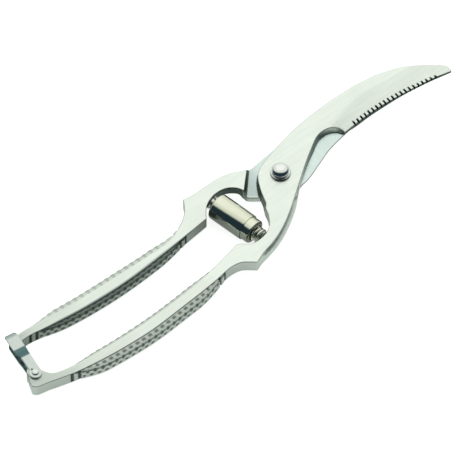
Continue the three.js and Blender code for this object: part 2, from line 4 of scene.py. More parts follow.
import bpy
import numpy as np
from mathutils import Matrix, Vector


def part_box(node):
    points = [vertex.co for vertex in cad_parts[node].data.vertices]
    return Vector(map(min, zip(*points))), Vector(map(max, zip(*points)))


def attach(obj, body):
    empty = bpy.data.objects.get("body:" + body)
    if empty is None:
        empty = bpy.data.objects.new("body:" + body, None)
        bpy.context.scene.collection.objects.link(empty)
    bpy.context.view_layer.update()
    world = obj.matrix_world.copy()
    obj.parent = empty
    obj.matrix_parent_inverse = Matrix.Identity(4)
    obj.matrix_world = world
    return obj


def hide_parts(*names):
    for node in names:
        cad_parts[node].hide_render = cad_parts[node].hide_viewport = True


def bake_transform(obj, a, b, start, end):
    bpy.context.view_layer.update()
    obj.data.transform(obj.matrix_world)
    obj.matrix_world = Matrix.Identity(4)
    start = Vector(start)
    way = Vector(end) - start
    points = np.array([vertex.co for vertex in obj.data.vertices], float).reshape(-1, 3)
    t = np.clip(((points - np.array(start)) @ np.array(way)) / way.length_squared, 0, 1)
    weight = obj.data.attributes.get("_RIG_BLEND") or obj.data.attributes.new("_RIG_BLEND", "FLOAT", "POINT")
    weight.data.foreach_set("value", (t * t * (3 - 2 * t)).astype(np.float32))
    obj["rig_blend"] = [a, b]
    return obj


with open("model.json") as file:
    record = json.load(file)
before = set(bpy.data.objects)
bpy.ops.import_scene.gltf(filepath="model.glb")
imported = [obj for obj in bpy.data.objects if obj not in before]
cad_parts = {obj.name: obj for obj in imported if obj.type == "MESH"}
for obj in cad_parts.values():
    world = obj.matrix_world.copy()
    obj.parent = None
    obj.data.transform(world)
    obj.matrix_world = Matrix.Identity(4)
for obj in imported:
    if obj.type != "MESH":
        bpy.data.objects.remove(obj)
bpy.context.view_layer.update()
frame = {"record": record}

# Poultry shears, lying flat and latched shut. Lengths in this script are millimetres until a mesh is
# made: make_mesh() turns them into the metres of the frame.
MM = 0.001
RECORD = frame["record"]
BODY_OF = {node: body for body, nodes in RECORD["behaviour"]["bodies"].items() for node in nodes}

# ---- sizes --------------------------------------------------------------------------------------
LEVER_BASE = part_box("front_lever")[0][2] / MM
LEVER_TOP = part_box("front_lever")[1][2] / MM
MIDDLE = (LEVER_BASE + LEVER_TOP) / 2  # height of the lap plane, the spring's axis and the latch
LAP_CLEARANCE = 0.15
LAND = 0.6  # blade thickness left at the rear cutting edge
TOOTHED_LAND = 1.6  # and at the toothed one
BLADE_TAPER = 2.0
EDGE_ROUND = 0.45
EDGE_DARK_REFLECTION = 0.35  # darkness of the painted dark reflection along the line where a flat turns into a wall
REAR_BEVEL = 5
BULGE_POWER = 8  # a high power gives the grip's bulge a flat middle
GRIP_SHADE = 0.3  # painted shade added to a grip's right wall just under its edge
LEFT_RECESS_SHARE = 0.4  # how strongly the pits darken the left walls
PIT_TONE = 0.74
GROOVE_TONE = 0.85
LAP_STEP_TONE = 0.97  # painted shade of the wall where the rear lever drops to its lap
# painted shade on the levers' undersides
UNDERSIDE_TONE = 0.3
GRIP_START = (-142, -122)
GRIP_END = (-72, -46)

SEAT_REAR = np.array([-32.4, 9.0])
SEAT_FRONT = np.array([-26.5, -20.8])
LATCH_PIVOT = np.array([-151.2, -14.2])
STRAP_ANGLE = math.radians(81.5)

TEETH = np.arange(21) * 2.2 + 43.0  # where the grooves stand along X
TOOTH_HALF_WIDTH = 0.42
TOOTH_DEPTH = 1.5

PIT_PITCH = 3.5
PIT_ROWS = ((-4.3, 0.0), (-1.9, 0.5), (0.5, 0.0), (2.9, 0.5))  # girth from the middle, shift
PIT_SIZE = (1.15, 0.85)  # half length, half height
PIT_DEPTH = 0.35
GROOVE_DEPTH = 0.75
GROOVE_HALF_WIDTH = 0.85

# A rung joins a lever's +Y side to its -Y side; the mark names the sides that turn a corner there.
FRONT_RUNGS = [
    ((-154.1, -11.8), (-156.5, -18.4)),
    ((-152.3, -9.9), (-155.2, -20.1)),
    ((-149.0, -11.3), (-152.2, -21.0)),
    ((-147.3, -15.2), (-149.0, -21.7)),
    ((-144.8, -18.6), (-145.4, -22.8)),
    ((-136, -21.1), (-136, -25.2)),
    ((-120, -22.9), (-120, -27.6)),
    ((-98, -23.7), (-98, -29.0)),
    ((-78, -23.0), (-78, -28.0)),
    ((-59, -21.1), (-60, -26.7)),
    ((-46, -18.7), (-48.4, -25.3)),
    ((-39.3, -17.2), (-43.6, -26.2), "left"),
    ((-37.2, -18.2), (-40.6, -28.3)),
    ((-34.6, -20.5), (-38.0, -30.6), "right"),
    ((-31.6, -21.5), (-32.4, -28.4)),
    ((-26.2, -21.1), (-25.2, -26.5)),
    ((-22.2, -19.1), (-17.5, -23.3)),
    ((-18.7, -14.6), (-10.2, -19.0)),
    ((-17.1, -10.2), (-4.6, -15.1)),
    ((-16.3, -7.8), (-2.2, -13.4)),
    ((-13.6, -0.8), (3.6, -9.2)),
    ((-8.2, 6.4), (10, -4.6)),
    ((3, 10.6), (17.5, 0.4)),
    ((19.5, 14.4), (26.0, 5.1)),
    ((28.5, 15.6), (31.8, 5.0)),
    ((33, 15.9), (35.4, 2.6)),
    ((36.5, 16.1), (36.6, -0.6), "right"),
    ((45.8, 16.3), (46.2, 0.1)),
    ((56.4, 15.9), (57.2, 0.2)),
    ((67.5, 14.3), (68.2, -0.7)),
    ((77.6, 11.0), (78, -1.9)),
    ((86.2, 5.9), (86.7, -3.2)),
    ((91.4, 1.7), (91.4, -4.4)),
    ((93.2, 0.3), (93.2, -4.8)),
    ((94.3, -0.9), (94.3, -5.0)),
    ((95.0, -2.5), (95.0, -4.2)),
]
REAR_RUNGS = [
    ((-149.3, 2.4), (-149.0, 1.5)),
    ((-147.9, 4.0), (-147.6, 2.0)),
    ((-145.6, 6.8), (-144.8, 2.9), "left"),
    ((-141, 6.9), (-140.4, 2.9)),
    ((-130, 5.7), (-130, 1.0)),
    ((-112, 4.1), (-112, -1.3)),
    ((-92, 3.3), (-92, -2.2)),
    ((-73, 2.8), (-73, -1.5)),
    ((-61, 3.4), (-61, -0.5)),
    ((-52.5, 6.3), (-52, 0.5)),
    ((-46.2, 11.0), (-46, 1.1)),
    ((-42.7, 16.3), (-41.0, 1.6), "both"),
    ((-39.5, 15.8), (-38.9, 4.5)),
    ((-36, 15.5), (-36.0, 7.2)),
    ((-29.5, 15.5), (-30.6, 9.3)),
    ((-22.5, 15.2), (-24.6, 8.8)),
    ((-16.5, 13.6), (-20.8, 6.3)),
    ((-10.9, 11.1), (-18.9, 3.1)),
    ((-8.7, 11.7), (-18.6, 1.0)),
    ((-5.5, 11.9), (-16.0, -1.5), "right"),
    ((2, 12.7), (-7.5, -7.4)),
    ((12, 13.3), (6, -9.3)),
    ((23, 12.4), (18.1, -5.5)),
    ((30, 11.2), (25.6, -2.7)),
    ((38, 9.8), (36.4, -0.5)),
    ((47, 8.3), (46.5, 0.8)),
    ((58, 6.3), (57.5, 0.9)),
    ((72, 3.2), (72, -0.2)),
    ((85, 0.1), (85, -2.3)),
    ((93.4, -2.2), (93.2, -4.1)),
]

# The rung from which each lever is cut down to half its height, so that the two lap.
FRONT_LAP_FROM = 18
REAR_LAP_FROM = 17

# How dark each wall looks along X, from 0, as bright as the flats, to 1, nearly black. It stands for the
# ground finish, and partly for the shadows and reflections that the photo shows on the walls.
FRONT_TONES = {
    "right": ((-150, 0.05), (-142, 0.08), (-134, 0.10), (-58, 0.12), (-50, 0.12), (-40, 0.05), (-28, 0.0),
              (0, 0.0), (6, 0.35), (12, 0.75), (22, 0.75), (27, 0.5), (31, 0.05), (35.5, 0.1),
              (37.2, 0.92), (95, 0.95)),
    "left": ((-150, 0.30), (-134, 0.10), (-58, 0.10), (-38, 0.25), (-19, 0.40), (-12, 0.85), (2, 0.88),
             (8, 0.3), (95, 0.3)),
}
REAR_TONES = {
    "right": ((-144, 0.66), (-134, 0.52), (-58, 0.50), (-50, 0.55), (-40, 0.70), (-36, 0.97), (-19.2, 0.98),
              (-18.2, 0.12), (-6, 0.05), (33, 0.05), (37, 0.92), (95, 0.95)),
    "left": ((-150, 0.30), (-134, 0.15), (-58, 0.15), (-44, 0.3), (95, 0.3)),
}


def smoothstep(start, end, x):
    t = np.clip((np.asarray(x, float) - start) / (end - start), 0, 1)
    return t * t * (3 - 2 * t)


# ---- meshes ---------------------------------------------------------------------------------------
def make_mesh(name, points, faces, materials, sharp=35, attributes=None, slots=None):
    mesh = bpy.data.meshes.new(name)
    mesh.from_pydata([tuple(p) for p in np.asarray(points, float) * MM], [], faces)
    mesh.polygons.foreach_set("use_smooth", [True] * len(mesh.polygons))
    if slots is not None:
        mesh.polygons.foreach_set("material_index", slots)
    for key, values in (attributes or {}).items():
        mesh.attributes.new(key, "FLOAT", "POINT").data.foreach_set("value", np.asarray(values, np.float32))
    mesh.set_sharp_from_angle(angle=math.radians(sharp))
    for material in materials:
        mesh.materials.append(material)
    mesh.update()
    obj = bpy.data.objects.new(name, mesh)
    bpy.context.scene.collection.objects.link(obj)
    return obj


def stand_for(obj, node):
    """The piece stands for a CAD node: it takes over its body."""
    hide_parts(node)
    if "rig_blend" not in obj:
        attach(obj, BODY_OF[node])
    return obj


def band_faces(rings, count, closed=False):
    """Quads between equal rings that follow each other; with closed, the last joins the first too."""
    faces = []
    for ring in range(rings if closed else rings - 1):
        here, there = ring * count, (ring + 1) % rings * count
        for i in range(count):
            j = (i + 1) % count
            faces.append((here + i, here + j, there + j, there + i))
    return faces


def loft_faces(rings, count):
    """Quads between equal rings, plus a fan at each end round the two hub points that follow them."""
    faces = band_faces(rings, count)
    first_hub, last_hub = rings * count, rings * count + 1
    last = (rings - 1) * count
    for i in range(count):
        j = (i + 1) % count
        faces.append((j, i, first_hub))
        faces.append((last + i, last + j, last_hub))
    return faces


def lathe(name, profile, material, place, node, closed=False, segments=96, sharp=35, tone=None):
    """Turns a profile of (radius, height). An open one starts and ends on the axis; a closed one is a
    tube's section. place() moves the turned points to where they stand, and tone() says how dark
    they are."""
    profile = np.array(profile, float)
    rings = profile if closed else profile[1:-1]
    angles = np.arange(segments) / segments * 2 * math.pi
    points = [(r * math.cos(a), r * math.sin(a), h) for r, h in rings for a in angles]
    if closed:
        faces = band_faces(len(rings), segments, closed=True)
    else:
        faces = loft_faces(len(rings), segments)
        points += [(0, 0, profile[0][1]), (0, 0, profile[-1][1])]
    points = np.array(points)
    attributes = {"tone": tone(*points.T)} if tone else None
    return stand_for(make_mesh(name, place(points), faces, [material], sharp, attributes), node)


def upright(centre):
    return lambda points: points + np.array([centre[0], centre[1], 0])


def along_spring(seat, direction):
    """Places a turned piece on the spring's axis: its height runs from the seat, and its Y points up."""
    side = np.array([-direction[1], direction[0]])

    def place(points):
        x, y, h = points.T
        plan = seat + np.outer(h, direction) + np.outer(x, side)
        return np.column_stack([plan, MIDDLE + y])

    return place


def arc(centre, radii, start, end, steps):
    """Points of a profile on a quarter ellipse or any other part of one, angles in degrees."""
    angles = np.radians(np.linspace(start, end, steps + 1))
    return [(centre[0] + radii[0] * math.cos(a), centre[1] + radii[1] * math.sin(a)) for a in angles]


# ---- materials ------------------------------------------------------------------------------------
EVEN = (1, 1, 1)  # grain that runs no way in particular
ALONG_X = (0.06, 1, 1)
ALONG_Y = (1, 0.06, 1)
ALONG_Z = (1, 1, 0.1)


def node_material(name):
    material = bpy.data.materials.new(name)
    material.use_nodes = True
    tree = material.node_tree
    tree.nodes.clear()
    output = tree.nodes.new("ShaderNodeOutputMaterial")
    shader = tree.nodes.new("ShaderNodeBsdfPrincipled")
    tree.links.new(shader.outputs["BSDF"], output.inputs["Surface"])
    return material, tree, shader


def noise(tree, scale, stretch=(1, 1, 1), detail=4.0):
    """Noise over the object's own metres, stretched along its axes."""
    coordinates = tree.nodes.new("ShaderNodeTexCoord")
    mapping = tree.nodes.new("ShaderNodeMapping")
    mapping.inputs["Scale"].default_value = stretch
    texture = tree.nodes.new("ShaderNodeTexNoise")
    texture.inputs["Scale"].default_value = scale
    texture.inputs["Detail"].default_value = detail
    tree.links.new(coordinates.outputs["Object"], mapping.inputs["Vector"])
    tree.links.new(mapping.outputs["Vector"], texture.inputs["Vector"])
    return texture.outputs["Fac"]


def map_range(tree, value, low, high, to_low, to_high):
    node = tree.nodes.new("ShaderNodeMapRange")
    for socket, number in (("From Min", low), ("From Max", high), ("To Min", to_low), ("To Max", to_high)):
        node.inputs[socket].default_value = number
    tree.links.new(value, node.inputs["Value"])
    return node.outputs["Result"]


def math_node(tree, operation, a, b):
    node = tree.nodes.new("ShaderNodeMath")
    node.operation = operation
    node.use_clamp = True
    for socket, value in zip(node.inputs, (a, b)):
        if isinstance(value, (int, float)):
            socket.default_value = value
        else:
            tree.links.new(value, socket)
    return node.outputs[0]


def mix_colour(tree, factor, a, b):
    node = tree.nodes.new("ShaderNodeMix")
    node.data_type = "RGBA"
    tree.links.new(factor, node.inputs["Factor"])
    for socket, value in ((node.inputs["A"], a), (node.inputs["B"], b)):
        if isinstance(value, tuple):
            socket.default_value = (*value, 1)
        else:
            tree.links.new(value, socket)
    return node.outputs["Result"]


def bump(tree, height, strength, distance, normal=None):
    node = tree.nodes.new("ShaderNodeBump")
    node.inputs["Strength"].default_value = strength
    node.inputs["Distance"].default_value = distance
    tree.links.new(height, node.inputs["Height"])
    if normal is not None:
        tree.links.new(normal, node.inputs["Normal"])
    return node.outputs["Normal"]


def attribute(tree, name):
    node = tree.nodes.new("ShaderNodeAttribute")
    node.attribute_name = name
    return node.outputs["Fac"]


def edge_wear(tree):
    """1 along outer edges, which handling polishes, and 0 on the flats and in the hollows."""
    geometry = tree.nodes.new("ShaderNodeNewGeometry")
    return map_range(tree, geometry.outputs["Pointiness"], 0.515, 0.60, 0, 1)


def scaled(colour, share):
    return tuple(min(1, channel * share) for channel in colour)


def steel(name, light, roughness, grain, dark=None, stretch=EVEN, smudge=0.06):
    """Ground or polished steel: a fine grain, a slow change of tone and gloss, and brighter edges.
    With a dark colour, the mesh's own tone and recess attributes say where it is painted on: tone mostly for
    painted shade and painted reflections and partly for the ground finish, recess for grime and painted
    shade in the hollows."""
    material, tree, shader = node_material(name)
    fine = noise(tree, grain, stretch, 6)
    cloud = noise(tree, 60, (1, 1, 1), 3)
    specks = noise(tree, 2600, (1, 1, 1), 2)
    wear = edge_wear(tree)
    smudged, streaked = scaled(light, 1 - smudge), scaled(light, 0.86)
    base = mix_colour(tree, map_range(tree, cloud, 0.3, 0.7, 0, 1), light, smudged)
    base = mix_colour(tree, map_range(tree, fine, 0.35, 0.75, 0, 0.28), base, streaked)
    gloss = map_range(tree, fine, 0.25, 0.8, roughness * 0.8, roughness * 1.25)
    if dark:
        tone = attribute(tree, "tone")
        recess = attribute(tree, "recess")
        worn_tone = math_node(tree, "SUBTRACT", tone, math_node(tree, "MULTIPLY", wear, 0.22))
        base = mix_colour(tree, worn_tone, base, dark)
        # Hollows are darkened: grime and painted shade in the pits, grooves, teeth and the strap's dimple.
        grime_and_shade = math_node(tree, "MULTIPLY", recess, map_range(tree, specks, 0.3, 0.6, 0.86, 1))
        base = mix_colour(tree, grime_and_shade, base, scaled(dark, 0.35))
        gloss = math_node(tree, "ADD", gloss, math_node(tree, "MULTIPLY", recess, 0.3))
    else:
        base = mix_colour(tree, math_node(tree, "MULTIPLY", wear, 0.3), base, scaled(light, 1.08))
    gloss = math_node(tree, "SUBTRACT", gloss, math_node(tree, "MULTIPLY", wear, roughness * 0.35))
    tree.links.new(base, shader.inputs["Base Color"])
    tree.links.new(gloss, shader.inputs["Roughness"])
    scratches = bump(tree, fine, 0.22, 0.00012)
    tree.links.new(bump(tree, specks, 0.10, 0.00004, scratches), shader.inputs["Normal"])
    shader.inputs["Metallic"].default_value = 1.0
    return material


FLOOR_GLOW = 0.85  # lifts the floor to a clean white in the picture
FLOOR_GLOW_SEEN_IN_STEEL = 0.27  # less, so that the floor doesn't wash out the steel that reflects it


def floor_material():
    material, tree, shader = node_material("pale_floor")
    cloud = noise(tree, 6, (1, 1, 1), 3)
    patches = map_range(tree, cloud, 0.3, 0.7, 0, 1)
    colour = mix_colour(tree, patches, (0.74, 0.81, 0.76), (0.71, 0.78, 0.73))
    tree.links.new(colour, shader.inputs["Base Color"])
    tree.links.new(bump(tree, noise(tree, 400), 0.05, 0.0002), shader.inputs["Normal"])
    shader.inputs["Roughness"].default_value = 0.75
    shader.inputs["Emission Color"].default_value = (1, 1, 1, 1)
    path = tree.nodes.new("ShaderNodeLightPath")
    glow = map_range(tree, path.outputs["Is Camera Ray"], 0, 1, FLOOR_GLOW_SEEN_IN_STEEL, FLOOR_GLOW)
    tree.links.new(glow, shader.inputs["Emission Strength"])
    return material


satin = steel("satin_steel", (0.85, 0.90, 0.838), 0.34, 900, dark=(0.010, 0.046, 0.029), stretch=ALONG_X)
# The lapping faces: a darker, bluish copy of the satin steel, painted shade of the notch, with the lap's own
# grain across the lever.
shaded_lap_steel = steel("shaded_lap_steel", (0.71, 0.82, 0.80), 0.26, 700, dark=(0.022, 0.032, 0.032), stretch=ALONG_Y)
polished = steel("polished_steel", (0.86, 0.88, 0.85), 0.08, 500, smudge=0.03)
# The tubes' creamy colour is a painted reflection of their bright upper half; the dark colour carries their
# painted shade.
drawn = steel("drawn_steel", (0.82, 0.83, 0.68), 0.09, 500, dark=(0.10, 0.13, 0.12), smudge=0.1)
# Its dark teal carries the strap's painted reflection and painted shade.
stamped = steel("stamped_steel", (0.80, 0.84, 0.80), 0.27, 800, dark=(0.03, 0.12, 0.13), stretch=ALONG_Y)
flange_steel = steel("flange_steel", (0.80, 0.83, 0.80), 0.14, 500, dark=(0.015, 0.025, 0.022))
turned = steel("turned_steel", (0.78, 0.81, 0.78), 0.24, 700, stretch=ALONG_Z)
wire = steel("spring_wire", (0.88, 0.90, 0.80), 0.26, 1200, dark=(0.02, 0.02, 0.02))


# ---- levers ---------------------------------------------------------------------------------------
def catmull_rom(points, u):
    """Centripetal Catmull-Rom curve through points; u counts them."""
    points = np.asarray(points, float)
    i = np.clip(np.floor(u).astype(int), 0, len(points) - 2)
    w = (u - i)[:, None]
    ghosted = np.vstack([2 * points[0] - points[1], points, 2 * points[-1] - points[-2]])
    p0, p1, p2, p3 = (ghosted[i + k] for k in range(4))
    spans = ((p0, p1), (p1, p2), (p2, p3))
    d0, d1, d2 = (np.sqrt(np.linalg.norm(b - a, axis=1))[:, None] for a, b in spans)
    m1 = ((p1 - p0) / d0 - (p2 - p0) / (d0 + d1) + (p2 - p1) / d1) * d1
    m2 = ((p2 - p1) / d1 - (p3 - p1) / (d1 + d2) + (p3 - p2) / d2) * d1
    return p1 + m1 * w + (3 * (p2 - p1) - 2 * m1 - m2) * w**2 + (2 * (p1 - p2) + m1 + m2) * w**3


def side_curve(rungs, side, marks):
    points = [rung[0 if side == "left" else 1] for rung in rungs]
    corners = [i for i, rung in enumerate(rungs) if len(rung) > 2 and rung[2] in (side, "both")]
    breaks = [0, *corners, len(points) - 1]
    curve = np.zeros((len(marks), 2))
    for a, b in zip(breaks, breaks[1:]):
        inside = (marks >= a) & (marks <= b)
        curve[inside] = catmull_rom(points[a : b + 1], marks[inside] - a)
    return curve


def lever_marks(rungs):
    """Where the sections stand, counted in rungs: close together on the grips and on the teeth."""
    marks = []
    for i, (here, there) in enumerate(zip(rungs, rungs[1:])):
        length = (math.dist(here[0], there[0]) + math.dist(here[1], there[1])) / 2
        x = (here[1][0] + there[1][0]) / 2
        pitch = 0.15 if x > 36 else 0.3 if -146 < x < -46 else 0.6
        count = math.ceil(length / pitch)
        marks.extend(i + np.arange(count) / count)
    return np.array(marks + [len(rungs) - 1.0])


def inward_normals(curve, side):
    along = np.gradient(curve, axis=0)
    along /= np.linalg.norm(along, axis=1)[:, None]
    turn = -1 if side == "left" else 1
    return np.column_stack([-along[:, 1], along[:, 0]]) * turn


def front_edge(x):
    return 0.3 - (x - 53.2) ** 2 / 316


def rear_edge(x):
    run = x - 34
    return 10.6 - 0.15 * run - 0.00105 * run**2


def taper(x):
    return BLADE_TAPER * np.maximum(0, (x - 12) / 83.4)


def flat_tone(x):
    """The flats are a little darker towards the butts."""
    return 0.24 * (1 - smoothstep(-156, -118, x)) + 0.10 * (1 - smoothstep(-125, -50, x))


def front_top(x, y, mark):
    """Height and darkness of the front lever's upper face, with the wide bevel and its teeth."""
    full = LEVER_TOP - taper(x)
    distance = np.maximum(y - front_edge(x), 0)
    slope = np.clip(1 - distance / front_bevel(x), 0, 1) * smoothstep(26, 32, x)
    height = full - (full - MIDDLE - TOOTHED_LAND) * slope
    offset = np.abs(x[..., None] - TEETH).min(axis=-1)
    reach = TOOTH_DEPTH * (1 - 0.35 * smoothstep(60, 90, x))
    inside = 1 - np.maximum(offset / TOOTH_HALF_WIDTH, distance / reach)
    depth = np.clip(inside, 0, 1)
    floor = MIDDLE + LAP_CLEARANCE + 0.12
    # The bevel is painted a little darker, painted shade for its tilt. The teeth's grooves and a ring round
    # them count as recess.
    tone = flat_tone(x) + 0.09 * (slope > 0)
    return height + (floor - height) * np.sqrt(depth), tone, smoothstep(-0.15, 0.1, inside)


def front_bevel(x):
    """Width of the front blade's bevel."""
    return 5.9 + 3.3 * smoothstep(31, 56, x) + 1.2 * smoothstep(70, 84, x)


def front_bottom(x, y, mark):
    return LEVER_BASE + (MIDDLE + LAP_CLEARANCE - LEVER_BASE) * np.clip(mark - FRONT_LAP_FROM, 0, 1)


def rear_top(x, y, mark):
    step = np.clip(mark - REAR_LAP_FROM, 0, 1)
    height = LEVER_TOP + (MIDDLE - LAP_CLEARANCE - LEVER_TOP) * step + 0 * x
    # The lap is darker towards the pocket. The butt gets the strap's painted shadow, and the step's wall is
    # painted nearly black with shade.
    lap = 0.32 * (1 - smoothstep(-14, -2, x)) * (step == 1)
    painted_strap_shadow = 0.15 * (1 - smoothstep(-149, -136, x))
    tone = np.where((step > 0) & (step < 1), LAP_STEP_TONE, lap + painted_strap_shadow + flat_tone(x))
    return height, tone, 0 * x


def rear_bottom(x, y, mark):
    full = LEVER_BASE + taper(x)
    slope = np.clip(1 - (rear_edge(x) - y) / REAR_BEVEL, 0, 1) * smoothstep(16, 30, x)
    return full + (MIDDLE - LAND - full) * slope


def boss_swell(x):
    return 1.5 * smoothstep(-39, -31, x) * (1 - smoothstep(-8, 10, x))


def notch_draft(mark):
    """How far the front lever's lap wall leans out at its foot, from the boss to the notch's end."""
    return 0.7 * smoothstep(21, 22.5, mark) * (1 - smoothstep(25.2, 26, mark))


def boss_draft(mark):
    """The same on the other side of the boss, where the wall leans in at its top."""
    return 1.2 * smoothstep(17.6, 19, mark) * (1 - smoothstep(19.5, 22, mark))


def rear_draft(mark):
    """How far the rear lever's wall leans back at its foot, in the pocket and on the blade's spine."""
    pocket = smoothstep(11, 12.5, mark) * (1 - smoothstep(16.2, 17, mark))
    spine = smoothstep(20.5, 21.5, mark) * (1 - smoothstep(23.6, 25, mark))
    return -1.3 * pocket - 2.0 * spine


LEVERS = {
    "front_lever": {
        "rungs": FRONT_RUNGS, "top": front_top, "bottom": front_bottom, "tones": FRONT_TONES,
        "swell": {"left": 1.8, "right": 3.3}, "boss": boss_swell, "shoulder": {"left": 0, "right": 0},
        "foot_draft": notch_draft, "top_draft": boss_draft,
        "crease": lambda x, y: (y - front_edge(x)) / front_bevel(x),
        "grooves": (-138.6, -135.3, -56.4, -52.9), "rim": 0.65, "lap_from": FRONT_LAP_FROM,
    },
    "rear_lever": {
        "rungs": REAR_RUNGS, "top": rear_top, "bottom": rear_bottom, "tones": REAR_TONES,
        "swell": {"left": 2.8, "right": 1.75}, "boss": lambda x: 0 * x,
        "shoulder": {"left": 0, "right": 0.85},
        "foot_draft": rear_draft, "top_draft": lambda mark: 0 * mark,
        "crease": lambda x, y: (rear_edge(x) - y) / REAR_BEVEL,
        "grooves": (-140.2, -137.0, -57.6, -54.2), "rim": 0.3, "lap_from": REAR_LAP_FROM,
    },
}

TOP_RIGHT = (0, 0.25, 0.5, 0.68, 0.8, 0.86, 0.91, 0.955)  # from the crease towards the -Y edge
TOP_LEFT = (1, 0.9, 0.75, 0.5, 0.25)  # from the +Y edge towards the crease
BOTTOM_STEPS = 6
WALL_STEPS = 30
CORNER_STEPS = 4


def grip_relief(x, run, girth, grooves):
    """Depth and darkness of a grip's wall: rows of oval pits, and a pair of grooves at each end. run is
    measured along the wall and girth round it, from its middle."""
    first, second, third, fourth = grooves
    textured = smoothstep(second + 1.0, second + 1.8, x) * (1 - smoothstep(third - 1.8, third - 1.0, x))
    pits = np.zeros_like(girth)
    for row, shift in PIT_ROWS:
        offset = (run / PIT_PITCH - shift + 0.5) % 1 - 0.5
        reach = (offset * PIT_PITCH / PIT_SIZE[0]) ** 2 + ((girth - row) / PIT_SIZE[1]) ** 2
        pits = np.maximum(pits, np.clip(1 - reach, 0, 1) * textured)
    cut = np.zeros_like(girth)
    for centre in grooves:
        cut = np.maximum(cut, np.clip(1 - ((x - centre) / GROOVE_HALF_WIDTH) ** 2, 0, 1))
    relief = np.maximum(PIT_DEPTH * np.sqrt(pits), GROOVE_DEPTH * cut)
    return relief, np.maximum(PIT_TONE * smoothstep(0, 0.5, pits), GROOVE_TONE * smoothstep(0, 0.7, cut))


def lever_wall(spec, side, edge, mark):
    """One wall at every section, from the top face to the underside: points of (section, step, xyz), and
    the tone and recess of each."""
    x, y = edge.T
    top, _, notch = spec["top"](x, y, mark)
    bottom = spec["bottom"](x, y, mark)
    grip = smoothstep(*GRIP_START, x) * (1 - smoothstep(*GRIP_END, x))
    swell = spec["swell"][side] * grip
    boss = spec["boss"](x) if side == "right" else 0 * x
    round_ = np.minimum(EDGE_ROUND, (top - bottom) / 4)
    lowered = spec["shoulder"][side] * grip
    foot_draft = spec["foot_draft"](mark) if side == "right" else 0 * mark
    top_draft = spec["top_draft"](mark) if side == "left" else 0 * mark
    run = np.concatenate([[0], np.cumsum(np.linalg.norm(np.diff(edge, axis=0), axis=1))])
    darkness = np.interp(x, *zip(*spec["tones"][side]))
    x, top, bottom, swell, boss, round_, lowered, foot_draft, top_draft, run, darkness, notch = (
        column[:, None] for column in
        (x, top, bottom, swell, boss, round_, lowered, foot_draft, top_draft, run, darkness, notch))

    turn = np.arange(CORNER_STEPS) / CORNER_STEPS * math.pi / 2
    corner_inset = (round_ + lowered) * (1 - np.sin(turn)) + top_draft
    corner_level = top - round_ * (1 - np.cos(turn)) - 0.5 * lowered * np.sin(turn)
    # The rounded edge between flat and wall gets a painted dark reflection, left off the left walls of the
    # grips.
    line = EDGE_DARK_REFLECTION * (1 - grip[:, None] * (side == "left"))
    corner_tone = np.maximum(darkness * np.sin(turn) ** 2, line * np.sin(2 * turn))

    g = np.linspace(0, 1, WALL_STEPS + 1)
    level = top - round_ - g * (top - bottom - 2 * round_) - 0.5 * lowered * (1 - g)
    bulge = swell * (1 - (2 * g - 1) ** BULGE_POWER) + boss * (1 - (2 * g - 1) ** 2)
    inset = top_draft * (1 - g) - foot_draft * g - bulge
    step = np.hypot(np.diff(inset, axis=1), np.diff(level, axis=1))
    girth = np.concatenate([0 * x, np.cumsum(step, axis=1)], 1)
    relief, recess = grip_relief(x, run, girth - girth[:, WALL_STEPS // 2, None], spec["grooves"])
    recess = recess * (LEFT_RECESS_SHARE if side == "left" else 1)

    turn = np.arange(1, CORNER_STEPS + 1) / CORNER_STEPS * math.pi / 2
    foot_inset = round_ * (1 - np.cos(turn)) - foot_draft
    foot_level = bottom + round_ * (1 - np.sin(turn))

    insets = np.concatenate([corner_inset, inset + relief, foot_inset], 1)
    levels = np.concatenate([corner_level, level, foot_level], 1)
    # Painted shade: just under the right edge of a grip, and in a band near the top of its left wall.
    if side == "right":
        shade = GRIP_SHADE * (swell > 0.5) * (1 - smoothstep(0.04, 0.12, g))
    else:
        shade = spec["rim"] * grip[:, None] * smoothstep(0.02, 0.06, g) * (1 - smoothstep(0.15, 0.3, g))
    tone = np.concatenate([corner_tone, np.minimum(darkness + shade, 1), darkness + 0 * turn], 1)
    wall_recess = np.maximum(recess, notch * (1 - g))
    recess = np.concatenate([notch + 0 * corner_tone, wall_recess, 0 * turn + 0 * x], 1)
    plan = edge[:, None] + inward_normals(edge, side)[:, None] * insets[..., None]
    return np.dstack([plan, levels]), tone, recess


def face_points(a, b, fractions):
    """Points between a and b, in plan, at each fraction."""
    return np.stack([a + (b - a) * f for f in fractions], 1)


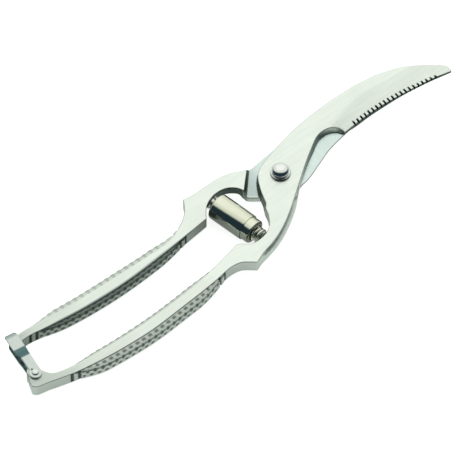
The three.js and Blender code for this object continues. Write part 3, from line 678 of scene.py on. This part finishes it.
def lever_rings(spec):
    marks = lever_marks(spec["rungs"])
    left, right = (side_curve(spec["rungs"], side, marks) for side in ("left", "right"))
    walls = {side: lever_wall(spec, side, edge, marks) for side, edge in (("left", left), ("right", right))}
    upper_left, upper_right = walls["left"][0][:, 0, :2], walls["right"][0][:, 0, :2]
    near, far = spec["crease"](*upper_left.T), spec["crease"](*upper_right.T)
    share = np.clip((near - 1) / (near - far), 0.04, 0.9)[:, None]
    crease = upper_left + (upper_right - upper_left) * share
    lower_right, lower_left = walls["right"][0][:, -1, :2], walls["left"][0][:, -1, :2]

    def upper(plan):
        height, tone, recess = spec["top"](plan[..., 0], plan[..., 1], marks[:, None])
        return np.dstack([plan, height]), tone, recess

    top_right = upper(face_points(crease, upper_right, TOP_RIGHT))
    top_left = upper(face_points(crease, upper_left, TOP_LEFT[1:]))
    below = face_points(lower_right, lower_left, np.arange(1, BOTTOM_STEPS) / BOTTOM_STEPS)
    below_height = spec["bottom"](below[..., 0], below[..., 1], marks[:, None]) + 0 * below[..., 0]
    bottom = (np.dstack([below, below_height]), UNDERSIDE_TONE + 0 * below_height, 0 * below_height)
    left_up = tuple(part[:, ::-1] for part in walls["left"])
    parts = (top_right, walls["right"], bottom, left_up, top_left)
    rings, tone, recess = (np.concatenate([part[i] for part in parts], 1) for i in range(3))
    return marks, rings, tone, recess


def rounded_end(rings, at_start, radius=0.5, steps=4):
    """Rings that close a lever's end: copies of the end section, each drawn in a little further."""
    end = rings[0] if at_start else rings[-1]
    centre = end.mean(axis=0)
    half = np.ptp(end[:, 2]) / 2
    scales = [1 - min(radius, half * 0.6) / half * k / steps for k in range(1, steps + 1)]
    extra = [centre + (end - centre) * scale for scale in scales]
    return extra[::-1] if at_start else extra


def make_lever(node):
    spec = LEVERS[node]
    marks, rings, tone, recess = lever_rings(spec)
    head, tail = rounded_end(rings, True), rounded_end(rings, False)
    count = rings.shape[1]
    all_rings = np.concatenate([head, rings, tail])
    hubs = [all_rings[0].mean(axis=0), all_rings[-1].mean(axis=0)]
    low, high = (np.array(corner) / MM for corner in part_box(node))
    points = np.clip(np.concatenate([all_rings.reshape(-1, 3), hubs]), low, high)

    def padded(values):
        before, after = np.repeat(values[:1], len(head), 0), np.repeat(values[-1:], len(tail), 0)
        rows = np.concatenate([before, values, after])
        return np.concatenate([rows.ravel(), [values[0].mean(), values[-1].mean()]])

    lap = np.zeros((len(all_rings) - 1, count), int)
    first = len(head) + int(np.argmax(marks >= spec["lap_from"] + 1))
    if node == "rear_lever":
        lap[first:, : len(TOP_RIGHT)] = 1
        lap[first:, count - len(TOP_LEFT) :] = 1
    else:
        start = len(TOP_RIGHT) + CORNER_STEPS * 2 + WALL_STEPS
        lap[first:, start : start + BOTTOM_STEPS] = 1
    faces = loft_faces(len(all_rings), count)
    slots = np.concatenate([lap.ravel(), np.zeros(2 * count, int)])
    attributes = {"tone": padded(tone), "recess": padded(recess)}
    obj = make_mesh(f"{node}_forging", points, faces, [satin, shaded_lap_steel], 32, attributes, slots)
    sharpen_crease(obj.data, count, len(all_rings) * count)
    return stand_for(obj, node)


def sharpen_crease(mesh, count, ring_points):
    """Marks the line between a lever's flat and its bevel, the first point of every ring, as sharp."""
    ends = np.zeros(2 * len(mesh.edges), int)
    mesh.edges.foreach_get("vertices", ends)
    on_crease = ((ends % count == 0) & (ends < ring_points)).reshape(-1, 2).all(axis=1)
    sharp = np.zeros(len(mesh.edges), bool)
    mesh.attributes["sharp_edge"].data.foreach_get("value", sharp)
    mesh.attributes["sharp_edge"].data.foreach_set("value", sharp | on_crease)


# ---- pivot ----------------------------------------------------------------------------------------
BORE = 2.7  # radius of the hole in the pivot's washers and nut


def heights(node):
    lowest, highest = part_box(node)
    return lowest[2] / MM, highest[2] / MM


def radius_of(node):
    lowest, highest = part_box(node)
    return (highest[0] - lowest[0]) / 2 / MM


def make_pivot():
    centre = upright((0, 0))
    washer_low, washer_high = heights("pivot_head_washer")
    foot, crown = heights("pivot_screw")
    head, seat = radius_of("pivot_screw"), washer_high + 0.1
    dome = arc((0, seat + 0.3), (head, crown - seat - 0.3), 0, 90, 24)
    lathe("pivot_screw_domed", [
        (0, foot), (2.0, foot), (2.4, foot + 0.4), (2.4, seat), (head - 0.1, seat),
        (head, seat + 0.1), *dome[:-1], (0, crown),
    ], polished, centre, "pivot_screw")
    rim = radius_of("pivot_head_washer")
    # Its side is painted nearly black: a painted contact shadow and dark reflection under the screw's head.
    lathe("pivot_head_washer_turned", [
        (BORE, washer_low), (rim - 0.05, washer_low), (rim, washer_low + 0.05), (rim, washer_high - 0.12),
        (rim - 0.12, washer_high), (BORE, washer_high),
    ], flange_steel, centre, "pivot_head_washer", closed=True, sharp=25,
        tone=lambda x, y, height: 0.95 * (height < washer_high - 0.06))
    low, high = heights("pivot_spring_washer")
    lathe("pivot_spring_washer_dished", [
        (BORE, high - 0.35), (3.6, high - 0.45), (4.4, low), (4.4, high - 0.25), (3.6, high - 0.09),
        (BORE, high),
    ], wire, centre, "pivot_spring_washer", closed=True)
    low, high = heights("pivot_rear_washer")
    lathe("pivot_rear_washer_flat", [
        (BORE, low), (4.5, low), (4.6, low + 0.1), (4.6, high - 0.1), (4.5, high), (BORE, high),
    ], turned, centre, "pivot_rear_washer", closed=True)
    make_nut()


def make_nut(segments=96):
    """A thin hexagon nut with its corners turned off below."""
    low, high = heights("pivot_nut")
    angles = np.arange(segments) / segments * 2 * math.pi
    apothem = 3.98
    hexagon = apothem / np.cos((angles + math.pi / 6) % (math.pi / 3) - math.pi / 6)
    rounded = np.minimum(hexagon, 4.5)
    chamfered = np.minimum(rounded, 4.05)
    bore = BORE + 0 * angles
    sections = [
        (bore, low + 0.2), (bore + 0.25, low), (chamfered, low), (rounded, low + 0.28),
        (rounded, high - 0.1), (np.minimum(rounded, 4.4), high), (bore, high),
    ]
    sines, cosines = np.sin(angles), np.cos(angles)
    rings = [np.column_stack([radii * sines, -radii * cosines, z + 0 * angles]) for radii, z in sections]
    faces = band_faces(len(sections), segments, closed=True)
    stand_for(make_mesh("pivot_nut_hexagon", np.concatenate(rings), faces, [turned], 25), "pivot_nut")


# ---- sleeved spring -------------------------------------------------------------------------------
SPRING_AXIS = (SEAT_FRONT - SEAT_REAR) / np.linalg.norm(SEAT_FRONT - SEAT_REAR)
SPRING_LENGTH = float(np.linalg.norm(SEAT_FRONT - SEAT_REAR))
WALL = 0.35  # of both tubes


def make_sleeves():
    place = along_spring(SEAT_REAR, SPRING_AXIS)
    outer, inner = 6.25, 5.75

    def painted_tube_shade(x, y, height):
        """The tubes are painted dark on their lower half and at their lips: a painted reflection below and
        painted shade at their open ends.
        """
        from_top = np.degrees(np.arctan2(np.abs(x), y))
        return 0.75 * np.maximum(smoothstep(58, 66, from_top), smoothstep(24.9, 25.2, height))

    lathe("outer_sleeve_drawn", [
        (4.3, 3.35), (4.3, 3.0), *arc((outer - 1.1, 4.1), (1.1, 1.1), -90, 0, 6),
        (outer, 20.95), (outer - 0.1, 21.2), (outer - WALL, 21.2), (outer - WALL, 4.1),
        (outer - 0.8, 3.5), (5.2, 3.35),
    ], drawn, place, "outer_sleeve", closed=True, segments=128, tone=painted_tube_shade)
    lathe("inner_sleeve_drawn", [
        (inner - WALL, 8.4), (inner, 8.4), *arc((inner - 0.9, 24.5), (0.9, 0.9), 0, 90, 6),
        (4.1, 25.4), (4.1, 25.05), (inner - 1.0, 25.05), (inner - WALL, 24.4),
    ], drawn, place, "inner_sleeve", closed=True, segments=128, tone=painted_tube_shade)


def make_peg(name, node, seat, direction):
    lathe(name, [
        (0, -3.1), (1.5, -3.1), (1.5, 0.2), (3.15, 0.2), (3.3, 0.28), (3.3, 0.34), (3.15, 0.42),
        (2.4, 0.48), (2.1, 1.0), (1.5, 3.8), *arc((0, 3.8), (1.5, 0.8), 15, 90, 5)[:-1], (0, 4.6),
    ], turned, along_spring(seat, direction), node, segments=64)


def coil_path(turns=12, steps=48, end_radius=3.1, radius=4.3, wire_thickness=1.2):
    """The wire's centre line: closed end turns that draw in round the pegs."""
    turn = np.linspace(0, turns, turns * steps + 1)
    from_end = np.minimum(turn, turns - turn)
    r = end_radius + (radius - end_radius) * smoothstep(2.3, 3.3, from_end)
    start = 1.0 + wire_thickness / 2 + 0.1
    closed = wire_thickness + 0.15
    active = (SPRING_LENGTH - 2 * start - 2 * closed) / (turns - 2)
    height = (start + np.minimum(turn, 1) * closed + np.clip(turn - 1, 0, turns - 2) * active
              + np.maximum(turn - turns + 1, 0) * closed)
    angle = -turn * 2 * math.pi
    return np.column_stack([r * np.cos(angle), r * np.sin(angle), height])


def make_coil(radius=0.6, sides=14):
    path = coil_path()
    along = np.gradient(path, axis=0)
    along /= np.linalg.norm(along, axis=1)[:, None]
    out = np.column_stack([path[:, 0], path[:, 1], np.zeros(len(path))])
    out /= np.linalg.norm(out, axis=1)[:, None]
    side = np.cross(along, out)
    angles = np.arange(sides) / sides * 2 * math.pi
    rings = [path + radius * (out * math.cos(a) + side * math.sin(a)) for a in angles]
    points = np.stack(rings, 1).reshape(-1, 3)
    points = np.concatenate([points, path[[0, -1]]])
    place = along_spring(SEAT_REAR, SPRING_AXIS)
    faces = loft_faces(len(path), sides)
    shade = 0.9 * (1 - smoothstep(5, 9, points[:, 2]))
    coil = make_mesh("compression_spring_wire", place(points), faces, [wire], 50, {"tone": shade})
    start, end = ((*(SEAT_REAR + SPRING_AXIS * at) * MM, MIDDLE * MM) for at in (2.0, SPRING_LENGTH - 2.0))
    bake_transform(coil, "spring_barrel", "spring_plunger", start=start, end=end)
    return stand_for(coil, "compression_spring")


# ---- latch ----------------------------------------------------------------------------------------
STRAP_HALF = 2.9
STRAP_THICKNESS = 0.9
ARM_LEVEL = 4.15  # of the arm's middle surface above the levers' middle
JOGGLE = 0.8
REACH = 22.7
BEND = 2.3


def arm_level(s):
    return ARM_LEVEL + JOGGLE * smoothstep(9.5, 13.5, s)


def strap_path():
    """The strip's middle line in (distance from the rivet, height), from the upper eye over the bight to
    the lower eye, and how many of its points are on the upper arm."""
    eye = -STRAP_HALF * np.cos(np.linspace(0.03, 1, 14) * math.pi / 2)
    arm = np.concatenate([eye, np.linspace(0.25, 20.1, 76)])
    top, start = ARM_LEVEL + JOGGLE, REACH + 0.45 - BEND
    turn = np.linspace(0.04, 1, 12) * math.pi / 2
    bend = [(start + BEND * math.sin(a), top - BEND * (1 - math.cos(a))) for a in turn]
    upper = [(s, float(arm_level(s))) for s in arm] + bend
    bight = [(REACH + 0.45, z) for z in np.linspace(top - BEND - 0.3, BEND + 0.3 - top, 12)]
    lower = [(s, -z) for s, z in reversed(upper)]
    path = np.array(upper + bight + lower)
    return path, len(upper)


def strap_width(path):
    """Where the strip's two edges lie beside its middle line: round eyes, a waist on the upper arm, and a
    narrow lower arm that the bight tapers to."""
    s, z = path.T
    rounding = np.sqrt(np.maximum(STRAP_HALF**2 - s**2, 0.02))
    shoulder = 0.7 * smoothstep(REACH - 1.6, REACH + 0.45, s) ** 2
    narrowed = 0.6 * (z < 0) * (1 - smoothstep(2, 7, s))
    rounding = rounding * (1 - narrowed / STRAP_HALF)
    low = np.where(s < 0, -rounding, -STRAP_HALF + shoulder + narrowed)
    waist = 1.6 + (STRAP_HALF - 1.6) * smoothstep(9.5, 12.5, s) - shoulder
    slanted = 0.9 + (STRAP_HALF - 0.9) * np.clip((z + 3.5) / 7, 0, 1) - shoulder
    arm = np.where(z > 0, np.minimum(waist, slanted), np.minimum(slanted, 0.9))
    return low, np.where(s < 0, rounding, np.maximum(arm, np.where(s < STRAP_HALF, rounding, 0)))


def make_strap(edge_round=0.2, across=14):
    path, upper = strap_path()
    low, high = strap_width(path)
    along = np.gradient(path, axis=0)
    along /= np.linalg.norm(along, axis=1)[:, None]
    outward = np.column_stack([-along[:, 1], along[:, 0]])
    half = STRAP_THICKNESS / 2
    corners = np.radians(np.linspace(0, 90, 4))
    section = [(1 - f, half, 0) for f in np.linspace(0, 1, across + 1)]
    section += [(0, half - edge_round + edge_round * math.cos(a), -math.sin(a)) for a in corners[1:]]
    section += [(0, -half + edge_round - edge_round * math.sin(a), -math.cos(a)) for a in corners]
    section += [(f, -half, 0) for f in np.linspace(0, 1, across + 1)[1:]]
    section += [(1, -half + edge_round - edge_round * math.cos(a), math.sin(a)) for a in corners[1:]]
    section += [(1, half - edge_round + edge_round * math.sin(a), math.cos(a)) for a in corners[:-1]]
    direction = np.array([math.cos(STRAP_ANGLE), math.sin(STRAP_ANGLE)])
    sideways = np.array([-direction[1], direction[0]])
    rings, recess = [], []
    dimple, dimple_radius, dimple_depth = (2.1, 0.6), 0.55, 0.3
    for fraction, lift, bulge in section:
        inset_low, inset_high = low + edge_round, high - edge_round
        inset_high = np.maximum(inset_high, inset_low + 0.02)
        t = inset_low + (inset_high - inset_low) * fraction + bulge * edge_round
        depth = np.zeros(len(path))
        if lift == half:
            distance = np.hypot(path[:, 0] - dimple[0], t - dimple[1])
            depth[:upper] = np.clip(1 - distance[:upper] / dimple_radius, 0, 1)
        place = path + outward * (lift - dimple_depth * depth)[:, None]
        plan = LATCH_PIVOT + np.outer(place[:, 0], direction) + np.outer(t, sideways)
        rings.append(np.column_stack([plan, MIDDLE + place[:, 1]]))
        recess.append(smoothstep(0, 0.4, depth))
    points = np.stack(rings, 1)
    hubs = [points[0].mean(axis=0), points[-1].mean(axis=0)]
    faces = loft_faces(len(path), len(section))
    levels = np.concatenate([np.stack(recess, 1).ravel(), [0, 0]])
    # Painted light on the strap: a dark teal reflection on the joggle's slope, painted shade at the bend,
    # painted shadow on the lower arm, and a slight teal tint on the upper arm.
    ramp = smoothstep(9.3, 9.9, path[:, 0]) * (1 - smoothstep(13.8, 14.4, path[:, 0]))
    ramp = (0.9 * ramp + 0.55 * smoothstep(20.2, 21.2, path[:, 0])) * (np.arange(len(path)) < upper)
    ramp = np.maximum(ramp, np.where(path[:, 1] > 0, 0.22, 0.88))
    tone = np.concatenate([np.repeat(ramp, len(section)), [0.1, 0.1]])
    points = np.concatenate([points.reshape(-1, 3), hubs])
    obj = make_mesh("latch_strap_folded", points, faces, [stamped], 40, {"tone": tone, "recess": levels})
    return stand_for(obj, "latch_strap")


def make_rivet():
    centre = upright(LATCH_PIVOT)
    foot, crown = heights("latch_rivet")
    head, seat = radius_of("latch_rivet"), crown - 0.7
    lathe("latch_rivet_set", [
        (0, foot), *arc((0, foot + 0.45), (head, 0.45), -80, 0, 6), (head, foot + 0.7), (1.1, foot + 0.7),
        (1.1, seat), (head, seat), (head, seat + 0.2), *arc((0, seat + 0.2), (head, 0.5), 8, 85, 7),
        (0, crown),
    ], turned, centre, "latch_rivet", segments=48)
    low, high = heights("latch_washer")
    lathe("latch_washer_flat", [
        (1.4, low), (2.1, low), (2.2, low + 0.08), (2.2, high - 0.08), (2.1, high), (1.4, high),
    ], turned, centre, "latch_washer", closed=True, segments=64)


# ---- the shears -----------------------------------------------------------------------------------
for lever in LEVERS:
    make_lever(lever)
make_pivot()
make_sleeves()
make_peg("rear_spring_peg_turned", "rear_spring_peg", SEAT_REAR, SPRING_AXIS)
make_peg("front_spring_peg_turned", "front_spring_peg", SEAT_FRONT, -SPRING_AXIS)
make_coil()
make_strap()
make_rivet()


# ---- studio ---------------------------------------------------------------------------------------
AZIMUTH = math.radians(-39)
ELEVATION = math.radians(57)
TARGET = Vector((-0.0367, -0.0089, 0.0098))
DISTANCE = 8.0  # metres; the long lens gives the photo's nearly parallel view
VIEW_WIDTH = 0.2036  # metres across the picture at the target


def make_camera():
    level = math.cos(ELEVATION)
    back = Vector((math.sin(AZIMUTH) * level, -math.cos(AZIMUTH) * level, math.sin(ELEVATION)))
    camera = bpy.data.cameras.new("camera")
    camera.sensor_width = 36
    camera.lens = camera.sensor_width * DISTANCE / VIEW_WIDTH
    camera.clip_end = 3 * DISTANCE
    obj = bpy.data.objects.new("camera", camera)
    obj.location = TARGET + back * DISTANCE
    obj.rotation_mode = "QUATERNION"
    obj.rotation_quaternion = (-back).to_track_quat("-Z", "Y")
    bpy.context.scene.collection.objects.link(obj)
    bpy.context.scene.camera = obj


def make_floor():
    half = 1.6
    steps = 8
    grid = np.linspace(-half, half, steps + 1) / MM
    points = [(x, y, 0) for y in grid for x in grid]
    across = steps + 1
    corners = [row * across + column for row in range(steps) for column in range(steps)]
    faces = [(corner, corner + 1, corner + across + 1, corner + across) for corner in corners]
    make_mesh("floor", points, faces, [floor_material()])


def make_softbox(name, direction, distance, size, power):
    light = bpy.data.lights.new(name, "AREA")
    light.shape = "RECTANGLE"
    light.size, light.size_y = size
    light.energy = power
    obj = bpy.data.objects.new(name, light)
    out = Vector(direction).normalized()
    obj.location = TARGET + out * distance
    obj.rotation_mode = "QUATERNION"
    obj.rotation_quaternion = (-out).to_track_quat("-Z", "Y")
    bpy.context.scene.collection.objects.link(obj)


BRIGHTEST = (0.566, 0.699, 1.0)  # near the direction that the flats reflect in the photo's view
STUDIO_STEPS = (  # how far a direction points that way, and the studio's colour there
    (0.38, (0.018, 0.035, 0.05)),
    (0.58, (0.78, 0.81, 0.77)),
    (0.95, (0.97, 0.99, 0.95)),
)


def make_world():
    """A studio that is bright behind and above the shears and dark low in front of them."""
    world = bpy.data.worlds.new("studio")
    bpy.context.scene.world = world
    world.use_nodes = True
    tree = world.node_tree
    tree.nodes.clear()
    coordinates = tree.nodes.new("ShaderNodeTexCoord")
    facing = tree.nodes.new("ShaderNodeVectorMath")
    facing.operation = "DOT_PRODUCT"
    facing.inputs[1].default_value = Vector(BRIGHTEST).normalized()
    ramp = tree.nodes.new("ShaderNodeValToRGB")
    ramp.color_ramp.elements.new(0.5)
    for element, (position, colour) in zip(ramp.color_ramp.elements, STUDIO_STEPS):
        element.position = position
        element.color = (*colour, 1)
    background = tree.nodes.new("ShaderNodeBackground")
    output = tree.nodes.new("ShaderNodeOutputWorld")
    tree.links.new(coordinates.outputs["Generated"], facing.inputs[0])
    tree.links.new(facing.outputs["Value"], ramp.inputs["Fac"])
    tree.links.new(ramp.outputs["Color"], background.inputs["Color"])
    tree.links.new(background.outputs["Background"], output.inputs["Surface"])


make_camera()
make_floor()
make_world()
make_softbox("softbox_above", (0.343, 0.423, 0.839), 1.6, (1.5, 1.5), 0.6)
bpy.context.scene.view_settings.view_transform = "Standard"
